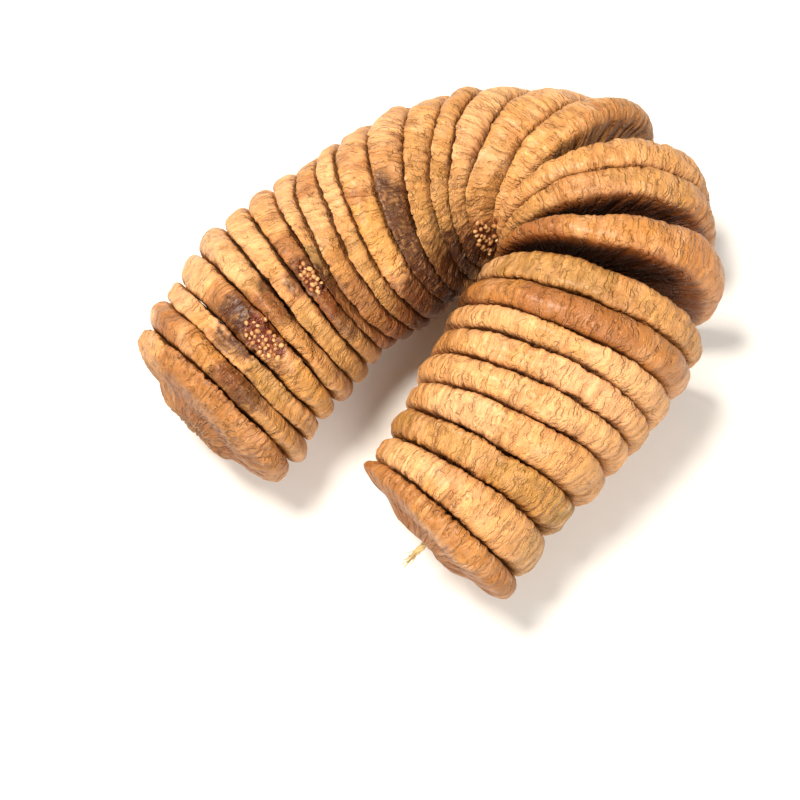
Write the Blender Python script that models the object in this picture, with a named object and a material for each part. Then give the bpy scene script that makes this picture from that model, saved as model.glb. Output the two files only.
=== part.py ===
"""A string of pressed dried figs, laid flat in a horseshoe on a level surface.

Every fig is a flat round cake with a rounded rim, pierced through the middle. The figs lie face
against face along one fibre string. In the bend they are pressed to wedges and stand open on the
outer side. Lengths and places below are in millimetres and angles in degrees; the last step turns
them into metres. +Z is up, and the origin is under the middle of the strand.
"""
import math
import random
from collections import namedtuple

import bmesh
import bpy
import numpy as np

MM = 0.001

# The first fig's outer face: its middle in plan, the way its outer end points, and its lean.
START_X = -54.2
START_Y = -26.1
START_WAY = 135.5
START_LEAN = 2.0

# One row for each fig, from the left end of the horseshoe to the right end: its thickness at the
# string, how far its far face lies further out than its near one, its wedge seen from above, the
# lean of its far face, its half width, and its skin.
Fig = namedtuple("Fig", "thick step wedge lean half skin")
FIGS = (
    Fig(8.3, 1.7, -1.5, 4.5, 24.6, "honey"),
    Fig(7.2, 1.5, 3.0, 7.0, 26.6, "rust"),
    Fig(5.8, 1.2, -0.5, 7.5, 25.6, "straw"),
    Fig(7.2, 1.1, 2.0, 6.0, 26.6, "amber"),
    Fig(7.8, 1.7, 4.0, 10.0, 27.4, "tan"),
    Fig(6.6, 0.8, 2.0, 10.0, 26.2, "cream"),
    Fig(7.1, 1.0, 4.5, 14.0, 26.2, "straw"),
    Fig(6.6, 0.8, 6.5, 22.5, 25.8, "straw"),
    Fig(5.7, 1.0, 1.5, 22.0, 25.8, "straw"),
    Fig(4.9, 1.0, 2.5, 22.0, 25.6, "straw"),
    Fig(8.5, 3.1, 5.5, 24.0, 25.8, "tan"),
    Fig(7.4, 2.3, 7.5, 24.0, 25.6, "olive"),
    Fig(7.2, 2.3, 11.0, 26.0, 25.6, "honey"),
    Fig(4.9, 1.1, 7.5, 26.5, 24.2, "olive"),
    Fig(6.5, 0.2, 13.0, 30.0, 24.0, "cream"),
    Fig(7.6, 0.7, 21.0, 32.0, 24.0, "honey"),
    Fig(3.1, 0.4, 11.0, 32.0, 24.8, "amber"),
    Fig(3.9, 1.4, 7.0, 24.5, 27.8, "honey"),
    Fig(4.0, -1.0, 7.0, 18.5, 27.6, "rust"),
    Fig(5.0, 2.1, 10.5, 7.5, 29.4, "rust"),
    Fig(6.8, 1.6, 0.5, -0.5, 29.4, "olive"),
    Fig(8.3, 0.3, 2.0, -1.5, 30.2, "rust"),
    Fig(8.0, 0.5, 1.5, 2.5, 29.6, "straw"),
    Fig(6.8, -0.1, -0.5, 0.5, 28.4, "straw"),
    Fig(7.6, 0.5, 0.0, -1.0, 28.2, "straw"),
    Fig(8.1, -2.6, 4.5, -4.0, 26.8, "cream"),
    Fig(9.1, -1.6, 3.0, -2.5, 25.0, "olive"),
    Fig(9.7, 0.8, 7.5, -4.0, 24.4, "cream"),
    Fig(6.1, 0.0, 5.0, -7.5, 24.0, "tan"),
)

# Where two figs stand open: the number of the fig before, the angle of the opening seen from
# above, the change of lean across it, and how far the string runs free in it.
Opening = namedtuple("Opening", "after swing lift width")
OPENINGS = (
    Opening(17, 19.5, -0.5, 4.8),
    Opening(19, 5.5, -6.0, 3.2),
    Opening(20, 7.0, -1.5, 2.8),
)

# Figs of the bend are pierced nearer their inner edge: how far their middle lies outward of the
# string.
OFF_CENTRE = {
    13: -1.0,
    14: 2.0,
    15: 3.5,
    16: 7.0,
    17: 12.0,
    18: 11.0,
    19: 11.0,
    20: 10.5,
    21: 7.0,
    22: 4.5,
    23: 3.0,
    24: 2.0,
}

# A bare face swells out, or sinks in where the number is below zero.
Bare = namedtuple("Bare", "fig side rise")
BARE_FACES = (
    Bare(1, "near", 2.2),
    Bare(17, "far", -0.4),
    Bare(18, "near", -0.3),
    Bare(19, "far", -0.4),
    Bare(20, "near", -0.3),
    Bare(20, "far", -0.4),
    Bare(21, "near", -0.4),
    Bare(29, "far", 1.6),
)

TOUCH_GAP = 0.36
HEIGHT_TO_WIDTH = 0.94
SQUARENESS = 2.15
SEGMENTS = 26
FACE_RING = 0.6
FLAT_DEPTH = 0.35
SETTLE_ROUNDS = 4

# The rim's section, from the near face over the crest to the far one: how far along the
# thickness, and how far below the crest as a share of the shoulder's depth.
RIM = ((0.0, 1.0), (0.12, 0.36), (0.3, 0.07), (0.5, 0.0), (0.7, 0.07), (0.88, 0.36), (1.0, 1.0))
SHOULDER_SHARE = 0.36
SHOULDER_MAX = 2.8
SHOULDER_MIN = 0.5
# The outline's lobes: waves round the fig, and their height.
LOBES = ((2, 0.35), (3, 0.30), (5, 0.22), (8, 0.14))
SHAPE_SEED = 29

STRING_RADIUS = 0.9
HOLE_RADIUS = 1.5
STRING_TAIL = 8.0
STRING_STUB = 2.6
TAIL_DROP = 1.5
TAIL_FLARE = 1.7
STUB_FLARE = 1.25

# Torn skin with the seeds showing: the fig, the middle of the patch round the rim from the outer
# end upwards, its length along the rim, its width, and the number of seeds.
Torn = namedtuple("Torn", "fig middle length width seeds")
TORN_PATCHES = (
    Torn(4, 96.0, 11.0, 3.6, 14),
    Torn(7, 106.0, 9.5, 3.0, 11),
    Torn(16, 137.0, 11.0, 0.8, 11),
)
GRAIN_RADIUS = 0.78
GRAIN_SINK = 0.3
GRAIN_SPACING = 1.25
GRAIN_TRIES = 400

# Skin colours as sRGB, with roughness.
SKINS = {
    "honey": ((0.80, 0.58, 0.31), 0.48),
    "rust": ((0.66, 0.42, 0.22), 0.45),
    "straw": ((0.86, 0.69, 0.42), 0.52),
    "amber": ((0.80, 0.53, 0.25), 0.44),
    "tan": ((0.76, 0.55, 0.33), 0.50),
    "cream": ((0.91, 0.75, 0.50), 0.54),
    "olive": ((0.72, 0.58, 0.30), 0.50),
}
STRING_COLOUR = (0.74, 0.63, 0.42)
STRING_ROUGHNESS = 0.85

# A face between two figs: its middle (x, y, z), the way its outer end points, and its lean.
Face = namedtuple("Face", "x y z way lean")


def clear_scene():
    for thing in list(bpy.data.objects):
        bpy.data.objects.remove(thing, do_unlink=True)


def to_linear(channel):
    if channel <= 0.04045:
        return channel / 12.92
    return ((channel + 0.055) / 1.055) ** 2.4


def make_material(name, colour, roughness):
    material = bpy.data.materials.new(name)
    material.use_nodes = True
    shader = material.node_tree.nodes["Principled BSDF"]
    linear = [to_linear(channel) for channel in colour]
    shader.inputs["Base Color"].default_value = (*linear, 1.0)
    shader.inputs["Roughness"].default_value = roughness
    shader.inputs["Metallic"].default_value = 0.0
    return material


def face_axes(way, lean):
    """Outward, upward and along-the-string directions of a face."""
    turn = math.radians(way)
    tip = math.radians(lean)
    outward = np.array([math.cos(turn), math.sin(turn), 0.0])
    level = np.array([math.sin(turn), -math.cos(turn), 0.0])
    plumb = np.array([0.0, 0.0, 1.0])
    upward = plumb * math.cos(tip) - level * math.sin(tip)
    along = level * math.cos(tip) + plumb * math.sin(tip)
    return outward, upward, along


def lay_out():
    """Near and far face of each fig, in plan, from one end of the strand to the other."""
    openings = {opening.after: opening for opening in OPENINGS}
    x, y, way, lean = START_X, START_Y, START_WAY, START_LEAN
    pairs = []
    for number, fig in enumerate(FIGS, start=1):
        near = Face(x, y, 0.0, way, lean)
        middle = math.radians(way - fig.wedge / 2)
        x += fig.thick * math.sin(middle) + fig.step * math.cos(middle)
        y += fig.step * math.sin(middle) - fig.thick * math.cos(middle)
        way -= fig.wedge
        lean = fig.lean
        pairs.append((near, Face(x, y, 0.0, way, lean)))
        if number in openings:
            opening = openings[number]
            middle = math.radians(way - opening.swing / 2)
            x += opening.width * math.sin(middle)
            y -= opening.width * math.cos(middle)
            way -= opening.swing
            lean += opening.lift
    return pairs


def with_heights(pairs, heights):
    """The same faces at the height of the string, which follows the figs' own middles."""
    result = []
    for index, (near, far) in enumerate(pairs):
        before = heights[max(index - 1, 0)]
        after = heights[min(index + 1, len(pairs) - 1)]
        own = heights[index]
        result.append((near._replace(z=(before + own) / 2), far._replace(z=(own + after) / 2)))
    return result


class FigShape:
    """The section and outline of one fig between its two faces."""

    def __init__(self, number, near, far, height):
        self.fig = FIGS[number - 1]
        self.near = near
        self.far = far
        way = (near.way + far.way) / 2
        lean = (near.lean + far.lean) / 2
        self.outward, self.upward, self.along = face_axes(way, lean)
        between = np.array([(near.x + far.x) / 2, (near.y + far.y) / 2, height])
        self.middle = between + OFF_CENTRE.get(number, 0.0) * self.outward
        self.rise = {bare.side: bare.rise for bare in BARE_FACES if bare.fig == number}
        chance = random.Random(SHAPE_SEED * 100 + number)
        self.phases = [chance.uniform(0.0, math.tau) for _ in LOBES]

    def radius(self, angle):
        wide = abs(math.cos(angle)) / self.fig.half
        high = abs(math.sin(angle)) / (self.fig.half * HEIGHT_TO_WIDTH)
        reach = (wide ** SQUARENESS + high ** SQUARENESS) ** (-1 / SQUARENESS)
        for (count, rise), phase in zip(LOBES, self.phases):
            reach += rise * math.sin(count * angle + phase)
        return reach

    def flat_point(self, out, up):
        return self.middle + out * self.outward + up * self.upward

    def depth_at(self, out, up, face, inset):
        """How far along the string a face lies from the fig's middle plane."""
        normal = face_axes(face.way, face.lean)[2]
        centre = np.array([face.x, face.y, face.z])
        slope = float(self.along @ normal)
        return (float((centre - self.flat_point(out, up)) @ normal) + inset) / slope

    def section_point(self, out, up, share, bulge=0.0):
        low = self.depth_at(out, up, self.near, TOUCH_GAP / 2)
        high = self.depth_at(out, up, self.far, -TOUCH_GAP / 2)
        return self.flat_point(out, up) + (low + share * (high - low) + bulge) * self.along

    def thickness(self, out, up):
        low = self.depth_at(out, up, self.near, TOUCH_GAP / 2)
        return self.depth_at(out, up, self.far, -TOUCH_GAP / 2) - low

    def hole_ring(self, face, share):
        centre = np.array([face.x, face.y, face.z]) - self.middle
        out = float(centre @ self.outward)
        up = float(centre @ self.upward)
        ring = []
        for step in range(SEGMENTS):
            angle = math.tau * step / SEGMENTS
            across = out + HOLE_RADIUS * math.cos(angle)
            above = up + HOLE_RADIUS * math.sin(angle)
            ring.append(self.section_point(across, above, share))
        return ring

    def face_ring(self, share, bulge):
        ring = []
        for step in range(SEGMENTS):
            angle = math.tau * step / SEGMENTS
            reach = self.radius(angle) * FACE_RING
            out, up = reach * math.cos(angle), reach * math.sin(angle)
            ring.append(self.section_point(out, up, share, bulge))
        return ring

    def rim_ring(self, share, drop):
        ring = []
        for step in range(SEGMENTS):
            ring.append(self.rim_point(math.tau * step / SEGMENTS, share, drop))
        return ring

    def rim_point(self, angle, share, drop):
        crest = self.radius(angle)
        thick = self.thickness(crest * math.cos(angle), crest * math.sin(angle))
        shoulder = min(SHOULDER_MAX, max(SHOULDER_MIN, SHOULDER_SHARE * thick))
        reach = crest - drop * shoulder
        return self.section_point(reach * math.cos(angle), reach * math.sin(angle), share)

    def rings(self):
        """Closed chain of rings: hole, near face, rim, far face, hole."""
        chain = [self.hole_ring(self.near, 0.0)]
        if "near" in self.rise:
            chain.append(self.face_ring(0.0, -self.rise["near"]))
        chain += [self.rim_ring(share, drop) for share, drop in RIM]
        if "far" in self.rise:
            chain.append(self.face_ring(1.0, self.rise["far"]))
        chain.append(self.hole_ring(self.far, 1.0))
        return np.array(chain)


def shapes_at(pairs, heights):
    shapes = []
    for number, (near, far) in enumerate(with_heights(pairs, heights), start=1):
        shapes.append(FigShape(number, near, far, heights[number - 1]))
    return shapes


def settled_shapes():
    """Figs at the height where each one's lowest spot is pressed a little flat on the surface."""
    pairs = lay_out()
    heights = [fig.half * HEIGHT_TO_WIDTH for fig in FIGS]
    for _ in range(SETTLE_ROUNDS):
        shapes = shapes_at(pairs, heights)
        lowest = [float(shape.rings()[:, :, 2].min()) for shape in shapes]
        heights = [height - low - FLAT_DEPTH for height, low in zip(heights, lowest)]
    return shapes_at(pairs, heights)


def string_route(shapes):
    """Points of the string with the width of each as a share: stub, every face, and the tail."""
    first = shapes[0]
    last = shapes[-1]
    route = []
    for shape in shapes:
        for face in (shape.near, shape.far):
            place = np.array([face.x, face.y, face.z])
            if not route or np.linalg.norm(place - route[-1][0]) > TOUCH_GAP:
                route.append((place, 1.0))
    start = route[0][0] - first.along * STRING_STUB
    route.insert(0, (start, STUB_FLARE))
    drop = np.array([0.0, 0.0, TAIL_DROP])
    route.append((route[-1][0] + last.along * STRING_TAIL * 0.6 - drop * 0.3, 1.0))
    route.append((route[-1][0] + last.along * STRING_TAIL * 0.4 - drop * 0.7, TAIL_FLARE))
    return route


def link(thing):
    bpy.context.scene.collection.objects.link(thing)
    return thing


def smooth(mesh):
    mesh.shade_smooth()
    mesh.set_sharp_from_angle(angle=math.radians(50))


def ring_mesh(name, rings, shift):
    """Closed surface through a closed chain of rings."""
    rings = rings.copy()
    rings[:, :, 2] = np.maximum(rings[:, :, 2], 0.0)
    shape = bmesh.new()
    grid = [[shape.verts.new(tuple((point - shift) * MM)) for point in ring] for ring in rings]
    count = len(grid)
    for row in range(count):
        nearer, further = grid[row], grid[(row + 1) % count]
        for step in range(SEGMENTS):
            after = (step + 1) % SEGMENTS
            shape.faces.new((nearer[step], nearer[after], further[after], further[step]))
    bmesh.ops.recalc_face_normals(shape, faces=shape.faces)
    mesh = bpy.data.meshes.new(name)
    shape.to_mesh(mesh)
    shape.free()
    return mesh


def grain_places(shape, patch, chance):
    """Seed middles spread over a torn patch, no two nearer than their spacing."""
    places = []
    turn = math.degrees(patch.length / 2 / shape.fig.half)
    for _ in range(GRAIN_TRIES):
        angle = math.radians(patch.middle + chance.uniform(-turn, turn))
        crest = shape.rim_point(angle, 0.5, 0.0)
        thick = shape.thickness(*(shape.radius(angle) * np.array([math.cos(angle), math.sin(angle)])))
        share = 0.5 + chance.uniform(-0.5, 0.5) * patch.width / thick
        place = shape.rim_point(angle, share, 0.07 * abs(share - 0.5) / 0.2)
        inward = (shape.middle - crest) / np.linalg.norm(shape.middle - crest)
        place = place + inward * GRAIN_SINK
        if all(np.linalg.norm(place - other) > GRAIN_SPACING for other in places):
            places.append(place)
        if len(places) == patch.seeds:
            break
    return places


def fuse_grains(thing, places, shift):
    """Joins seeds, sunk in the torn flesh, to the fig in one union."""
    grains = bpy.data.collections.new(thing.name + "_grains")
    bpy.context.scene.collection.children.link(grains)
    for place in places:
        shape = bmesh.new()
        bmesh.ops.create_icosphere(shape, subdivisions=1, radius=GRAIN_RADIUS * MM)
        bmesh.ops.translate(shape, verts=shape.verts, vec=tuple((place - shift) * MM))
        mesh = bpy.data.meshes.new("grain")
        shape.to_mesh(mesh)
        shape.free()
        grains.objects.link(bpy.data.objects.new("grain", mesh))
    union = thing.modifiers.new("torn_patch", "BOOLEAN")
    union.operation = "UNION"
    union.operand_type = "COLLECTION"
    union.collection = grains
    union.solver = "EXACT"
    bpy.context.view_layer.update()
    graph = bpy.context.evaluated_depsgraph_get()
    joined = bpy.data.meshes.new_from_object(thing.evaluated_get(graph))
    thing.modifiers.remove(union)
    thing.data = joined
    for grain in list(grains.objects):
        bpy.data.objects.remove(grain, do_unlink=True)
    bpy.data.collections.remove(grains)


def make_fig(number, shape, shift, materials):
    name = f"fig_{number:02d}"
    mesh = ring_mesh(name, shape.rings(), shift)
    mesh.materials.append(materials[shape.fig.skin])
    thing = link(bpy.data.objects.new(name, mesh))
    for patch in TORN_PATCHES:
        if patch.fig == number:
            chance = random.Random(SHAPE_SEED * 1000 + number)
            fuse_grains(thing, grain_places(shape, patch, chance), shift)
    smooth(thing.data)
    return thing


def make_string(route, shift, material):
    curve = bpy.data.curves.new("string", "CURVE")
    curve.dimensions = "3D"
    curve.bevel_depth = STRING_RADIUS * MM
    curve.bevel_resolution = 2
    curve.use_fill_caps = True
    spline = curve.splines.new("POLY")
    spline.points.add(len(route) - 1)
    for point, (place, width) in zip(spline.points, route):
        point.co = (*((place - shift) * MM), 1.0)
        point.radius = width
    curve.materials.append(material)
    return link(bpy.data.objects.new("string", curve))


def middle_of(shapes):
    """The middle of the strand's outer box in plan, at the surface."""
    points = np.concatenate([shape.rings().reshape(-1, 3) for shape in shapes])
    low = points.min(axis=0)
    high = points.max(axis=0)
    return np.array([(low[0] + high[0]) / 2, (low[1] + high[1]) / 2, 0.0])


def build():
    clear_scene()
    materials = {}
    for name, (colour, roughness) in SKINS.items():
        materials[name] = make_material(name + "_skin", colour, roughness)
    fibre = make_material("string_fibre", STRING_COLOUR, STRING_ROUGHNESS)
    shapes = settled_shapes()
    shift = middle_of(shapes)
    for number, shape in enumerate(shapes, start=1):
        make_fig(number, shape, shift, materials)
    make_string(string_route(shapes), shift, fibre)


build()
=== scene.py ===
"""Looks of the string of pressed dried figs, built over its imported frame.

Lengths are in millimetres until the last step of each mesh. Angles round a fig are in degrees:
0 is the end that points out of the horseshoe, 90 the top and 180 the inner end. Across a rim, -1
is the near edge, towards fig 1, and 1 the far edge.
"""

import math
import random

import bpy
import numpy as np
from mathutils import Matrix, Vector
from mathutils.bvhtree import BVHTree


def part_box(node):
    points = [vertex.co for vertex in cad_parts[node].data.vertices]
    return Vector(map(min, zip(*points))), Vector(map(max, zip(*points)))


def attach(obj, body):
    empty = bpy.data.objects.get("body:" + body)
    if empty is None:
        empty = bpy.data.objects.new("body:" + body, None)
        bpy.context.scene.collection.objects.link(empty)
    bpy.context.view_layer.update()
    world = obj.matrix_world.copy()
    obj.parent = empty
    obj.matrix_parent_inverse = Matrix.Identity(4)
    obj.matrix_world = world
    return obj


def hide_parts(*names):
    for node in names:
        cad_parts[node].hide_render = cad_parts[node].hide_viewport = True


MM = 0.001
FIG_COUNT = 29
LEFT_ARM = range(1, 13)
BEND = range(12, 18)

# Camera: the point it looks at, distance, height angle, lens, sensor and shift of the frame.
AIM = (-2.44, 4.3, 24.5)
DISTANCE = 600.0
ELEVATION = 74.0
LENS = 108.0
SENSOR = 36.0
SHIFT = (-0.025, -0.1)

# Studio, in metres and watts: the sky's colour and strength, each lamp's name, place, width, power
# and colour, and the point that they face. Then half the floor's width in mm.
SKY = ("#fffaf2", 0.34)
LAMPS = (("key", (-0.24, 0.16, 0.85), 0.3, 11.5, "#fff6e8"),
         ("fill", (0.15, -0.6, 0.6), 0.6, 4.5, "#fffaf4"))
LAMPS_FACE = (0.0, 0.0, 0.02)
FLOOR_HALF = 2000.0

# Reading a packed fig back: its usual radius, its hole's radius, the reaches that tell points of
# the hole and of the edge, the width of a sector of the edge in degrees, and the rays that find
# its outline: how many, from how far out, the least height of a hit, how many waves are fitted to
# them, and how far off the waves a ray may be.
RIM_RADIUS = 26.0
HOLE_RADIUS = 1.3
HOLE_WITHIN = 13.0
EDGE_BEYOND = 16.0
SECTOR = 15
RAYS = 144
RAY_START = 45.0
RAY_LOWEST = 0.05
WAVES_ROUND = 8
WAVES_WITHIN = 0.25

# Grid of one fig: fine steps where the rim stands free and wider ones underneath, the rows over
# the rim, and the rows from its edge to the hole, as shares of the way where the face is hidden.
FINE_FROM = -32.0
FINE_TO = 212.0
FINE_STEPS = 300
WIDE_STEPS = 84
RIM_ROWS = 25
CLOSED_ROWS = (0.04, 0.14, 0.4, 0.75, 1.0)
BARE_ROWS = 20

# Cross-section of a rim: the shares of the thickness that its shoulders take up on the left arm
# and elsewhere, within limits, and what is added at both ends; how round a closed and an open edge
# are, where 1 is an ellipse; and the furthest step to a neighbour's rim. The ends of a fig are
# given by the cosines between which they set in.
SHOULDER_SHARES = (0.24, 0.3)
SHOULDER_LIMITS = (0.5, 2.6)
SHOULDER_AT_ENDS = 0.3
CLOSED_EDGE = 0.76
OPEN_EDGE = 0.95
STEP_LIMIT = 4.0
OUTER_END = (0.5, 1.0)
BOTH_ENDS = (0.75, 1.0)

# Faces that stand open: how far each bulges out, or is dished where the number is below zero, and
# how wide the edge is rounded on the open side, at the outer end and elsewhere. A bulge is at its
# height from the first share of the way to the hole on, and dips to the hole from the second on.
BARE_NEAR = {1: 2.6, 18: -0.3, 20: -0.3, 21: -0.4}
BARE_FAR = {17: 0.6, 19: -0.4, 20: -0.4, 29: 2.0}
ROUNDED = {(1, -1): (9.0, 9.0), (17, 1): (5.0, 4.4), (19, 1): (5.5, 3.2), (20, 1): (8.0, 3.0),
           (29, 1): (8.0, 8.0)}
BULGE = (0.5, 0.72)

# Open faces that the light reaches. The other ones lie in a narrow gap and get painted shade.
LIT_FACES = (1, 17, 29)

# Swollen figs: the shares of the open wedge behind it that the fig fills, at its outer end, its
# top and its inner end, and how far from the middle these are taken.
SWOLLEN = {2: (0.9, 0.5, 0.9), 17: (0.05, 0.6, 0.6), 18: (0.2, 0.3, 0.3)}
WEDGE_REACH = 24.0

# How far a skin may pass its packed face, where figs press on each other and where it stands open,
# and its least height over the floor.
PRESSED_ROOM = 0.175
OPEN_ROOM = 3.0
LOWEST = 0.02

# Wander that neighbouring figs share, as reach and size of a slow and a short wave. It sets in
# between these heights over the floor, so that the flats underneath stay where they are.
SLOW_WANDER = (0.5, 13.0)
SHORT_WANDER = (0.14, 3.2)
WANDER_HEIGHTS = (1.0, 9.0)

# Wrinkles of a pressed fig: folds about 3 mm apart with creases of 1.7 mm between them. They run
# across the rim, and the squeeze makes them 4.5 times as long there as they are apart. A fold or a
# crease is given by its noise size and by the width of its line in the noise.
SQUEEZE = np.array([1.0, 1.0, 0.22])
FIG_SPACING = 61.7
SWERVE_SIZE = 4.5
SWERVE_REACH = 0.42
LUMP_SIZES = (9.0, 4.5)
LUMP_RISES = (0.3, 0.2)
FOLD = (3.0, 0.2)
FOLD_DEPTH = 0.3
CREASE = (1.7, 0.24)
CREASE_DEPTH = 0.17
RIPPLE_SIZE = 1.0
RIPPLE_RISE = 0.08
PUCKER_SIZE = 1.5
PUCKER_DEPTHS = (0.08, 0.14)
STRENGTH_SIZE = 6.0
STRENGTH_MEAN = 0.75
STRENGTH_SWING = 0.6

# Figs whose wrinkles cross in a net, and the net: its swerves, its lines and its swells.
NETTED = (1, 5)
NET_SWERVE_SIZE = 3.0
NET_SWERVE_REACH = 0.8
NET_FOLD = (3.6, 0.15)
NET_CREASE = (1.9, 0.2)
NET_SWELL = 0.25

# Cracks of a fig: how many, between which angles, how far they slant, half their width, their
# depth, and how far they wander, in degrees and over how many millimetres.
CRACK_COUNT = (3, 6)
CRACK_ANGLES = (10, 170)
CRACK_SLANT = 0.8
CRACK_WIDTH = 0.24
CRACK_DEPTH = 0.38
CRACK_WANDER = (3.0, 3.0)

# Torn skin: the fig, the middle of the patch, its half length in degrees, its half width as a
# share of the fig's thickness, where it lies between the near edge (-1) and the far edge (1), the
# number of seeds, and how far the flesh rises. Below, how far the patch's edge wanders along and
# across the rim and over how many millimetres, its lip, and the lumps of the flesh.
TORN = ((4, 107.0, 16.0, 0.6, 0.1, 30, -0.9), (7, 105.0, 11.0, 0.62, 0.2, 22, -0.8),
        (16, 166.0, 17.0, 0.34, 0.55, 20, 1.1), (17, 170.0, 10.0, 0.5, -0.2, 12, 1.0))
TEAR_ALONG = (7.0, 2.2)
TEAR_ACROSS = (0.45, 1.8)
LIP_RISE = 0.25
FLESH_RISE = 0.3
FLESH_SIZE = 1.1

# Seeds: half their width, the least distance between two, how deep they lie or how far they
# stand out, their two colours, and how often a place is tried.
SEED_SIZES = (0.4, 0.7)
SEED_GAP = 1.0
SEED_LIFTS = (-0.3, 0.35)
SEED_COLOURS = ("#d6a56c", "#9c6030")
SEED_TRIES = 900
SEED_ROWS = 7
SEED_SIDES = 10

# String: the spacing of its points, rounds of smoothing, the length of one twist, how far a ply
# lies from the middle, its radius and sides, the points without plies at its two ends, and how
# near an end fig's middle and how near the very tip the points of its solid's end are.
STRING_STEP = 0.5
STRING_ROUNDS = 14
TWIST_LENGTH = 5.0
PLY_OFFSET = 0.42
PLY_RADIUS = 0.46
PLY_SIDES = 8
STUB_POINTS = 5
TAIL_POINTS = 8
END_WITHIN = 22.0
END_DEPTH = 0.25

# Loose fibres of the cut tail: how many, their lengths, their radius and how much thinner the tip
# is, how far they spread at the root and towards the tip, how far they bend, and their least
# height over the floor.
FIBRE_COUNT = 22
FIBRE_LENGTHS = (2.4, 5.4)
FIBRE_RADIUS = 0.13
FIBRE_TAPER = 0.06
FIBRE_ROOT = 0.18
FIBRE_SPREAD = 0.7
FIBRE_BEND = 0.6
FIBRE_LOWEST = 0.4
FIBRE_POINTS = 9
FIBRE_SIDES = 5

PALETTE = {
    "straw": "#e0a466", "cream": "#edb87f", "peach": "#e9b07c", "honey": "#d69b5a",
    "amber": "#c28442", "rust": "#9a5d2e", "tan": "#c18c50", "olive": "#aa803c",
    "brown": "#7a3f17", "plum": "#411e0d", "grey": "#a5814c", "sugar": "#fbe8c4",
    "gold": "#ce9346", "flesh": "#6a2812", "rose": "#ca8850",
}
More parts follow.
